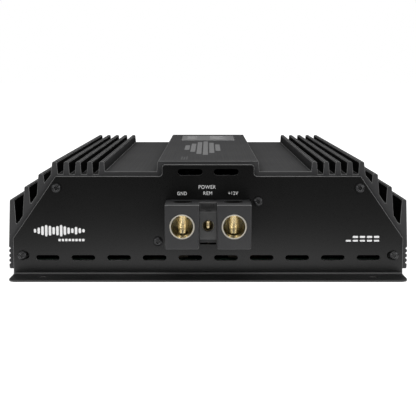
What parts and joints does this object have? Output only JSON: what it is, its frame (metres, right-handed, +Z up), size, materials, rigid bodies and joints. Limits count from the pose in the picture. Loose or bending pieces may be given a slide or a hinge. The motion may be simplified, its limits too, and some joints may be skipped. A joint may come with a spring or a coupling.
{
  "type": "car audio amplifier",
  "caption": "Black finned car audio amplifier in an aluminium extrusion with end plates, a mounting base, screw terminals, phono inputs and control knobs.",
  "frame": {"origin": "centre of the bounding box on the ground, under the middle of the case", "axes": "+X to the right seen from the power terminal end, +Y along the case towards the speaker terminals and controls, +Z up"},
  "size_m": [0.23, 0.3412, 0.0662],
  "materials": {
    "anodised_case": "black anodised extrusion, satin",
    "anodised_plate": "black anodised sheet, satin",
    "coated_steel": "black powder coat, satin",
    "brushed_badge": "light grey, brushed",
    "terminal_plastic": "black moulded plastic",
    "terminal_metal": "pale plated brass, machined",
    "screw_brass": "machined brass",
    "zinc_steel": "zinc-plated steel",
    "black_steel": "black oxide steel",
    "control_plastic": "black moulded plastic",
    "control_case": "grey moulded plastic",
    "jack_plastic": "moulded jack body with plated shells",
    "blue_lens": "translucent blue lens",
    "red_lens": "translucent red lens",
    "circuit_board": "green solder mask",
    "copper_winding": "enamelled copper wire",
    "capacitor_sleeve": "shrink sleeve",
    "transistor_resin": "moulded resin",
    "clamp_steel": "plain steel"
  },
  "bodies": {
    "amplifier": {"base_plate": "coated_steel", "base_plate_screw_1": "zinc_steel", "base_plate_screw_2": "zinc_steel", "base_plate_screw_3": "zinc_steel", "base_plate_screw_4": "zinc_steel", "control_circuit_board": "circuit_board", "front_end_plate": "anodised_plate", "front_plate_screw_1": "black_steel", "front_plate_screw_2": "black_steel", "front_plate_screw_3": "black_steel", "front_plate_screw_4": "black_steel", "front_plate_screw_5": "black_steel", "front_plate_screw_6": "black_steel", "gain_potentiometer": "control_case", "gnd_terminal_block": "terminal_metal", "heatsink": "anodised_case", "hump_badge": "brushed_badge", "left_power_transistor_1": "transistor_resin", "left_power_transistor_2": "transistor_resin", "left_transistor_clamp": "clamp_steel", "low_pass_potentiometer": "control_case", "main_circuit_board": "circuit_board", "output_inductor": "copper_winding", "phase_switch_case": "control_case", "positive_terminal_block": "terminal_metal", "power_led": "blue_lens", "power_terminal_housing": "terminal_plastic", "power_transformer_1": "copper_winding", "power_transformer_2": "copper_winding", "protect_led": "red_lens", "rail_capacitor_1": "capacitor_sleeve", "rail_capacitor_2": "capacitor_sleeve", "rail_capacitor_3": "capacitor_sleeve", "rail_capacitor_4": "capacitor_sleeve", "rca_input_jacks": "jack_plastic", "rear_end_plate": "anodised_plate", "rear_plate_screw_1": "black_steel", "rear_plate_screw_2": "black_steel", "rear_plate_screw_3": "black_steel", "rear_plate_screw_4": "black_steel", "rear_plate_screw_5": "black_steel", "rear_plate_screw_6": "black_steel", "remote_level_port": "control_plastic", "remote_terminal_block": "terminal_metal", "right_power_transistor_1": "transistor_resin", "right_power_transistor_2": "transistor_resin", "right_transistor_clamp": "clamp_steel", "speaker_negative_terminal_block": "terminal_metal", "speaker_positive_terminal_block": "terminal_metal", "speaker_terminal_housing": "terminal_plastic", "subsonic_potentiometer": "control_case"},
    "gnd_set_screw": {"gnd_set_screw": "screw_brass"},
    "positive_set_screw": {"positive_set_screw": "screw_brass"},
    "remote_set_screw": {"remote_set_screw": "screw_brass"},
    "speaker_positive_set_screw": {"speaker_positive_set_screw": "screw_brass"},
    "speaker_negative_set_screw": {"speaker_negative_set_screw": "screw_brass"},
    "gain_knob": {"gain_knob": "control_plastic"},
    "low_pass_knob": {"low_pass_knob": "control_plastic"},
    "subsonic_knob": {"subsonic_knob": "control_plastic"},
    "phase_slider": {"phase_switch_slider": "control_plastic"}
  },
  "joints": [
    {"name": "gnd_set_screw_travel", "type": "slide", "parent": "amplifier", "child": "gnd_set_screw", "axis": [0, 0, 1], "range_m": [0, 0.0115]},
    {"name": "positive_set_screw_travel", "type": "slide", "parent": "amplifier", "child": "positive_set_screw", "axis": [0, 0, 1], "range_m": [0, 0.0115]},
    {"name": "remote_set_screw_travel", "type": "slide", "parent": "amplifier", "child": "remote_set_screw", "axis": [0, 0, 1], "range_m": [0, 0.005]},
    {"name": "speaker_positive_set_screw_travel", "type": "slide", "parent": "amplifier", "child": "speaker_positive_set_screw", "axis": [0, 0, 1], "range_m": [0, 0.0115]},
    {"name": "speaker_negative_set_screw_travel", "type": "slide", "parent": "amplifier", "child": "speaker_negative_set_screw", "axis": [0, 0, 1], "range_m": [0, 0.0115]},
    {"name": "gain_knob_turn", "type": "hinge", "parent": "amplifier", "child": "gain_knob", "pos_m": [-0.04, 0.1431, 0.03], "axis": [0, 1, 0], "range_deg": [-140, 140]},
    {"name": "low_pass_knob_turn", "type": "hinge", "parent": "amplifier", "child": "low_pass_knob", "pos_m": [-0.056, 0.1431, 0.03], "axis": [0, 1, 0], "range_deg": [-140, 140]},
    {"name": "subsonic_knob_turn", "type": "hinge", "parent": "amplifier", "child": "subsonic_knob", "pos_m": [-0.072, 0.1431, 0.03], "axis": [0, 1, 0], "range_deg": [-140, 140]},
    {"name": "phase_slider_travel", "type": "slide", "parent": "amplifier", "child": "phase_slider", "axis": [1, 0, 0], "range_m": [0, 0.0035]}
  ]
}
